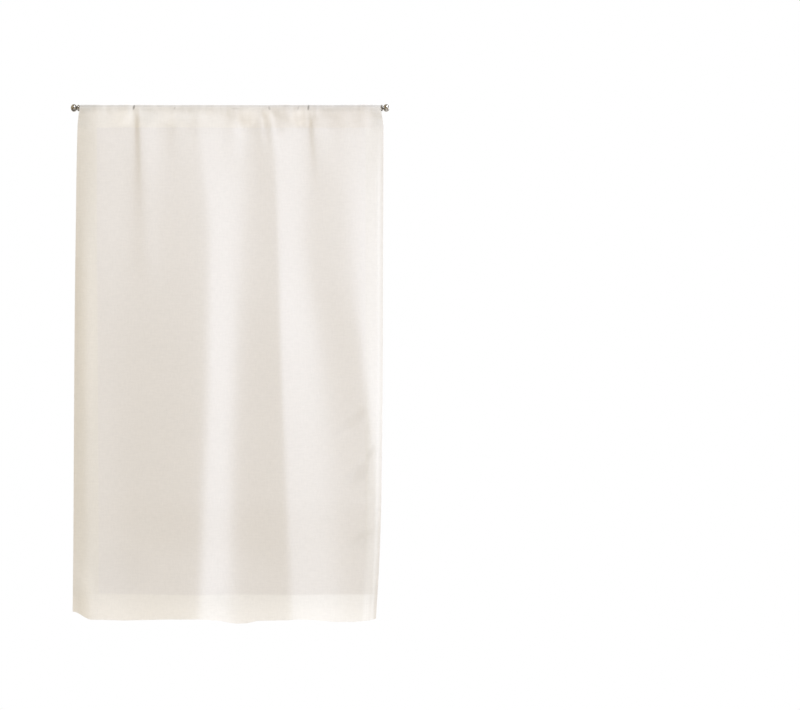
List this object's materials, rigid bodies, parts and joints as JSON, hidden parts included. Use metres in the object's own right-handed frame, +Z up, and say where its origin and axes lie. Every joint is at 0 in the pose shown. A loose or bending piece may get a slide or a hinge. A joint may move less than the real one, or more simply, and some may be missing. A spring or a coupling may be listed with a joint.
{
  "type": "short curtain on a rod",
  "caption": "Short semi-sheer curtain of plain cream cloth, hung by its sewn pocket on a slim metal rod with round knobs, to screen a small window.",
  "frame": {"origin": "middle of the rod's axis", "axes": "+Z up, +X to the right of someone who faces the curtain, along the rod, and -Y the way the curtain's face looks"},
  "size_m": [0.6371, 0.0349, 1.0403],
  "materials": {
    "cloth": "semi-sheer plain weave, cream, matt",
    "rod_metal": "satin nickel",
    "knob_metal": "aged nickel, half polished"
  },
  "bodies": {
    "root": {"curtain": "cloth", "rod": "rod_metal", "finial_left": "knob_metal", "finial_right": "knob_metal"}
  },
  "joints": []
}
